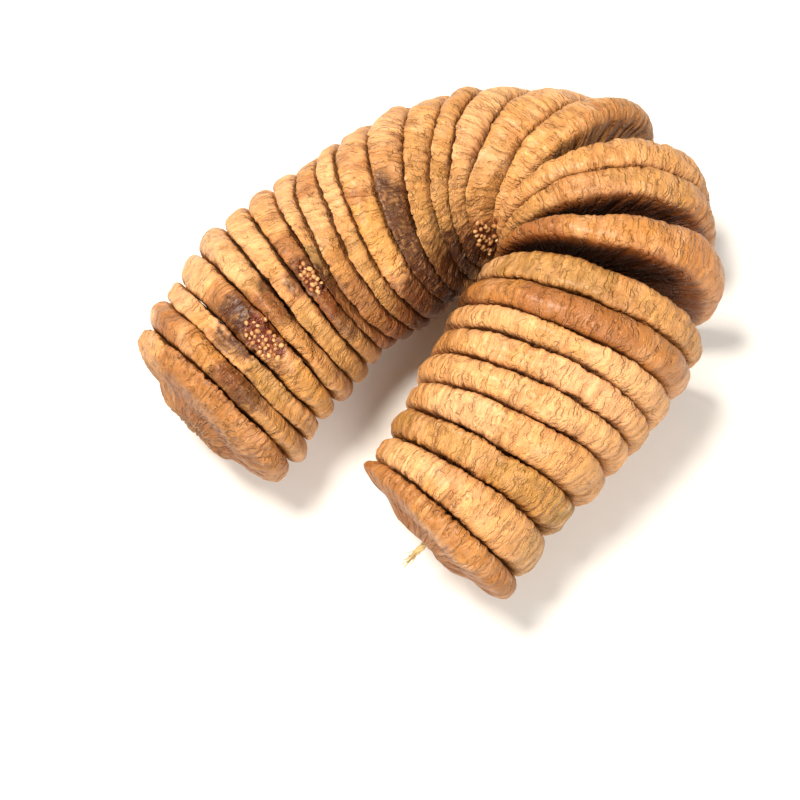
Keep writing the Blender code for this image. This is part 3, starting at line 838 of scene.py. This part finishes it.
def add_seeds(skin, torn, material):
    """Seeds that lie in the torn flesh, none too near to another."""
    number, middle, half, width, offset, count, _ = torn
    chance = random.Random(number * 7)
    shape, faces = seed_shape()
    light, dark = (linear(code) for code in SEED_COLOURS)
    places, parts, paint = [], [], []
    for _ in range(SEED_TRIES):
        if len(places) == count:
            break
        angle = middle + half * chance.uniform(-0.85, 0.85)
        across = offset + width * chance.uniform(-1.7, 1.7)
        if math.hypot((angle - middle) / half, (across - offset) / width / 2) > 0.9:
            continue
        spot = skin.spot(angle, across)
        place = skin.surface[spot]
        if skin.torn[spot] < 0.3:
            continue
        if any(np.linalg.norm(place - other) < SEED_GAP for other in places):
            continue
        places.append(place)
        lift = unit(place - skin.disc.centre)
        size = chance.uniform(*SEED_SIZES)
        axis = unit(any_way(chance))
        side = unit(np.cross(axis, np.array([0.3, 0.5, 0.8])))
        turned = shape @ np.stack([side, np.cross(axis, side), axis]) * size
        parts.append((turned + place + lift * chance.uniform(*SEED_LIFTS), faces))
        share = chance.random()
        tone = light * share + dark * (1 - share)
        paint.append(np.broadcast_to(np.append(tone, 1.0), (len(shape), 4)))
    name = f"seeds_{number:02d}"
    mesh = new_mesh(name, *joined(parts))
    add_attribute(mesh, "paint", "FLOAT_COLOR", np.concatenate(paint))
    return add_piece(name, mesh, material, f"fig_{number:02d}")


def string_route(discs, cord):
    """Middle line of the string: its stub, every hole, and its tail, read from its solid."""
    points = []
    for disc in discs:
        for hole in (disc.near_hole, disc.far_hole):
            points.append(disc.place(*hole))
    for disc, side in ((discs[0], -1), (discs[-1], 1)):
        close = cord[np.linalg.norm(cord - disc.centre, axis=1) < END_WITHIN]
        reach = close @ disc.along * side
        end = close[reach > reach.max() - END_DEPTH].mean(axis=0)
        points.insert(0 if side < 0 else len(points), end)
    return np.array(points)


def smooth_path(points):
    """A smooth line through the points, as even steps."""
    gaps = np.linalg.norm(np.diff(points, axis=0), axis=1)
    place = np.concatenate([[0.0], np.cumsum(gaps)])
    even = np.linspace(0.0, place[-1], int(place[-1] / STRING_STEP) + 1)
    line = np.stack([np.interp(even, place, points[:, axis]) for axis in range(3)], axis=-1)
    for _ in range(STRING_ROUNDS):
        line[1:-1] = (line[:-2] + 2 * line[1:-1] + line[2:]) / 4
    return line


def headings(path):
    """Direction of a path at each of its points."""
    heading = np.gradient(path, axis=0)
    return heading / np.linalg.norm(heading, axis=1, keepdims=True)


def tube(path, radius, sides):
    """Closed tube round a path; radius may change from point to point."""
    heading = headings(path)
    side = unit(np.cross(heading[0], np.array([0.13, 0.21, 0.97])))
    turn = np.arange(sides) * math.tau / sides
    cos, sin = np.cos(turn)[:, None], np.sin(turn)[:, None]
    rings = []
    for place, way, wide in zip(path, heading, np.broadcast_to(radius, len(path))):
        side = unit(side - way * (side @ way))
        rings.append(place + wide * (cos * side + sin * np.cross(way, side)))
    points = np.concatenate(rings + [path[:1], path[-1:]])
    return points, capped_rings(len(path), sides)


def add_string(discs, cord, material):
    """Three twisted plies, and the loose fibres of the cut tail."""
    line = smooth_path(string_route(discs, cord))
    whole = len(line) - TAIL_POINTS
    heading = headings(line)
    side = np.cross(heading, np.array([0.0, 0.0, 1.0]))
    side /= np.linalg.norm(side, axis=1, keepdims=True)
    other = np.cross(heading, side)
    travel = np.arange(len(line)) * STRING_STEP
    parts = []
    for ply in range(3):
        turn = travel * math.tau / TWIST_LENGTH + ply * math.tau / 3
        twist = np.cos(turn)[:, None] * side + np.sin(turn)[:, None] * other
        path = drift(line + PLY_OFFSET * twist)[STUB_POINTS:whole]
        parts.append(tube(path, PLY_RADIUS, PLY_SIDES))
    chance = random.Random(5)
    root, way = line[whole - 3], heading[whole - 3]
    share = np.linspace(0.0, 1.0, FIBRE_POINTS)[:, None]
    for _ in range(FIBRE_COUNT):
        spread = any_way(chance)
        bend = any_way(chance)
        path = root + way * share * chance.uniform(*FIBRE_LENGTHS)
        path = path + spread * (FIBRE_SPREAD * share + FIBRE_ROOT) + bend * FIBRE_BEND * share ** 2
        path[:, 2] = np.maximum(path[:, 2], FIBRE_LOWEST)
        parts.append(tube(drift(path), FIBRE_RADIUS - FIBRE_TAPER * share[:, 0], FIBRE_SIDES))
    mesh = new_mesh("twisted_string", *joined(parts))
    return add_piece("twisted_string", mesh, material, "string")


def add_node(tree, kind, inputs=None, **settings):
    """Adds a shader node with its settings; an input is a value, an output, or a node's first."""
    node = tree.nodes.new("ShaderNode" + kind)
    for name, value in settings.items():
        setattr(node, name, value)
    for name, value in (inputs or {}).items():
        if isinstance(value, bpy.types.Node):
            value = value.outputs[0]
        if isinstance(value, bpy.types.NodeSocket):
            tree.links.new(value, node.inputs[name])
        else:
            node.inputs[name].default_value = value
    return node


def new_material(name):
    material = bpy.data.materials.new(name)
    material.use_nodes = True
    material.node_tree.nodes.clear()
    return material, material.node_tree


def skin_material(name, roughness):
    """Skin of a sun-dried, pressed fig: waxy leather with a dull sheen on its folds.

    The eye gets fine pores, streaks and darker creases across the rim, the creases partly their
    own colour and partly painted shade, and a wet gloss where the skin is torn and the flesh lies
    in its own syrup.
    """
    material, tree = new_material(name)
    paint = add_node(tree, "Attribute", attribute_name="paint").outputs["Color"]
    grain = add_node(tree, "Attribute", attribute_name="grain").outputs["Vector"]
    torn = add_node(tree, "Attribute", attribute_name="torn").outputs["Fac"]
    sizes = {"Vector": grain, "Scale": SCALES["swerve"], "Detail": 2.0}
    swerve = add_node(tree, "TexNoise", sizes)
    squeezed = add_node(tree, "Mapping", {"Vector": grain, "Scale": SHADER_SQUEEZE})
    parts = {0: swerve.outputs[1], 1: SWERVE, 2: squeezed}
    across = add_node(tree, "VectorMath", parts, operation="MULTIPLY_ADD")
    noises = {}
    for kind, places, detail in (("mottle", grain, 3.0), ("streak", across, 3.0),
                                 ("crease", across, 1.0), ("line", across, 0.5),
                                 ("pores", grain, 1.0)):
        sizes = {"Vector": places, "Scale": SCALES[kind], "Detail": detail}
        noises[kind] = add_node(tree, "TexNoise", sizes)

    # Mottles, pores and streaks each make the paint a little lighter or darker.
    tint = None
    for kind, darkest, lightest in (("mottle", 0.86, 1.12), ("pores", 0.93, 1.05),
                                    ("streak", 0.85, 1.12)):
        limits = {0: noises[kind], 1: 0.3, 2: 0.7, 3: darkest, 4: lightest}
        shade = add_node(tree, "MapRange", limits)
        if tint is not None:
            shade = add_node(tree, "Math", {0: tint, 1: shade}, operation="MULTIPLY")
        tint = shade
    tinted = add_node(tree, "VectorMath", {0: paint, 3: tint}, operation="SCALE")

    # Creases and the finer lines between them lie where a noise crosses its middle.
    drawn = []
    for kind, width in (("crease", CREASE_WIDTH), ("line", LINE_WIDTH)):
        off = add_node(tree, "Math", {0: noises[kind], 1: 0.5}, operation="SUBTRACT")
        size = add_node(tree, "Math", {0: off}, operation="ABSOLUTE")
        drawn.append(add_node(tree, "MapRange", {0: size, 2: width, 3: 1.0, 4: 0.0}))
    both = {0: drawn[1], 1: LINE_SHARE, 2: drawn[0]}
    deep = add_node(tree, "Math", both, operation="MULTIPLY_ADD")
    places = add_node(tree, "MapRange", {0: swerve, 1: 0.42, 2: 0.58, 3: 0.25, 4: 1.0})
    creased = add_node(tree, "Math", {0: deep, 1: places}, operation="MULTIPLY")
    # Painted shade, partly the skin's own colour: the paint darkens along the creases and lines.
    dark = add_node(tree, "VectorMath", {0: tinted, 1: CREASE_SHADE_TINT}, operation="MULTIPLY")
    share = add_node(tree, "Math", {0: creased, 1: CREASE_SHADE_SHARE}, operation="MULTIPLY",
                     use_clamp=True)
    colour = add_node(tree, "Mix", {0: share, 6: tinted, 7: dark}, data_type="RGBA")

    # Streaks and pores stand up, creases lie deep.
    sunk = {0: creased, 1: -1.0, 2: noises["streak"]}
    sunk = add_node(tree, "Math", sunk, operation="MULTIPLY_ADD")
    height = {0: noises["pores"], 1: PORE_HEIGHT, 2: sunk}
    height = add_node(tree, "Math", height, operation="MULTIPLY_ADD")
    bump = {"Height": height, "Strength": 0.9, "Distance": BUMP_DEPTH}
    bump = add_node(tree, "Bump", bump)
    wet = add_node(tree, "MapRange", {0: torn, 3: roughness, 4: SYRUP_ROUGHNESS})
    shader = add_node(tree, "BsdfPrincipled", {
        "Base Color": colour.outputs[2],
        "Roughness": wet,
        "Subsurface Weight": 0.1,
        "Subsurface Radius": (1.2, 0.5, 0.25),
        "Subsurface Scale": 0.001,
        "Specular IOR Level": 0.38,
        "Coat Weight": 0.1,
        "Coat Roughness": 0.22,
        "Normal": bump,
    })
    add_node(tree, "OutputMaterial", {"Surface": shader})
    return material


def plain_material(name, colour, settings):
    """A finish whose colour is one value or a mesh's own paint."""
    material, tree = new_material(name)
    if colour == "paint":
        colour = add_node(tree, "Attribute", attribute_name="paint").outputs["Color"]
    else:
        colour = (*linear(colour), 1.0)
    shader = add_node(tree, "BsdfPrincipled", {"Base Color": colour, **settings})
    add_node(tree, "OutputMaterial", {"Surface": shader})
    return material


def seed_material():
    """Dried fig seeds in their syrup: hard, smooth and tan, glossy where the syrup coats them."""
    settings = {"Roughness": 0.35, "Coat Weight": 0.3}
    return plain_material("fig_seed_syrup_coated", "paint", settings)


def string_material():
    """Twisted bast string: dry plant fibre with a matt straw colour."""
    return plain_material("bast_string_twisted", STRING_COLOUR, {"Roughness": 0.85})


def floor_material():
    """Matt white paper sweep: it gives soft, unbroken light from below."""
    return plain_material("paper_matt_white", PAPER_COLOUR, {"Roughness": 0.9})


def add_camera():
    tip = math.radians(ELEVATION)
    data = bpy.data.cameras.new("camera")
    data.lens = LENS
    data.sensor_width = SENSOR
    data.shift_x, data.shift_y = SHIFT
    camera = bpy.data.objects.new("camera", data)
    back = Vector((0.0, -math.cos(tip), math.sin(tip)))
    camera.location = (Vector(AIM) + back * DISTANCE) * MM
    camera.rotation_euler = (math.radians(90.0 - ELEVATION), 0.0, 0.0)
    bpy.context.scene.collection.objects.link(camera)
    bpy.context.scene.camera = camera


def add_lamp(name, place, size, power, colour):
    data = bpy.data.lights.new(name, "AREA")
    data.shape = "DISK"
    data.size = size
    data.energy = power
    data.color = tuple(linear(colour))
    lamp = bpy.data.objects.new(name, data)
    lamp.location = place
    way = Vector(LAMPS_FACE) - Vector(place)
    lamp.rotation_euler = way.to_track_quat("-Z", "Y").to_euler()
    bpy.context.scene.collection.objects.link(lamp)


def add_studio():
    """Pale sky, two soft lamps and the paper floor."""
    world = bpy.data.worlds.new("studio")
    world.use_nodes = True
    back = world.node_tree.nodes["Background"]
    back.inputs[0].default_value = (*linear(SKY[0]), 1.0)
    back.inputs[1].default_value = SKY[1]
    bpy.context.scene.world = world
    for lamp in LAMPS:
        add_lamp(*lamp)
    corners = np.array([(-1, -1, 0), (1, -1, 0), (1, 1, 0), (-1, 1, 0)]) * FLOOR_HALF
    mesh = new_mesh("floor", corners, np.array([[0, 1, 2, 3]]))
    mesh.materials.append(floor_material())
    floor = bpy.data.objects.new("floor", mesh)
    bpy.context.scene.collection.objects.link(floor)
    bpy.context.scene.view_settings.view_transform = "Standard"


def read_discs(nodes):
    """Every packed fig read back, with the swollen ones moved into their wedges."""
    middles = []
    for number in range(1, FIG_COUNT + 1):
        low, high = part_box(f"fig_{number:02d}")
        middles.append(np.array((low + high) / 2))
    discs = []
    for index in range(FIG_COUNT):
        onward = middles[min(index + 1, FIG_COUNT - 1)] - middles[max(index - 1, 0)]
        discs.append(Disc(nodes[f"fig_{index + 1:02d}"], onward))
    for number, shares in SWOLLEN.items():
        discs[number - 1].swell(discs[number], shares)
    return discs


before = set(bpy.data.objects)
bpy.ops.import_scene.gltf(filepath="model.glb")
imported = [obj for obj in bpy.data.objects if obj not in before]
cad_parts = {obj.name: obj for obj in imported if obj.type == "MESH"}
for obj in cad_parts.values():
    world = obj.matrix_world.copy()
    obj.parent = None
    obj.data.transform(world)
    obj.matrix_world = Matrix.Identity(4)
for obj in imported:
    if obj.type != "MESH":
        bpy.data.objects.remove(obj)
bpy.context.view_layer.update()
add_camera()
add_studio()
finishes = {}
for name, roughness in SKIN_ROUGHNESS.items():
    finishes[name] = skin_material(name + "_fig_skin_dried", roughness)
discs = read_discs(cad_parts)
seed_finish = seed_material()
skins = [Skin(number, discs) for number in range(1, FIG_COUNT + 1)]
stains = []
for number, angle, *rest in STAINS:
    skin = skins[number - 1]
    stains.append((skin.surface[skin.spot(angle)], *rest))
for skin, kind in zip(skins, SLOT_OF):
    skin.paint_rows(stains)
    add_fig(skin, finishes[kind])
    for torn in TORN:
        if torn[0] == skin.number:
            add_seeds(skin, torn, seed_finish)
add_string(discs, mesh_points(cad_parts["string"]), string_material())
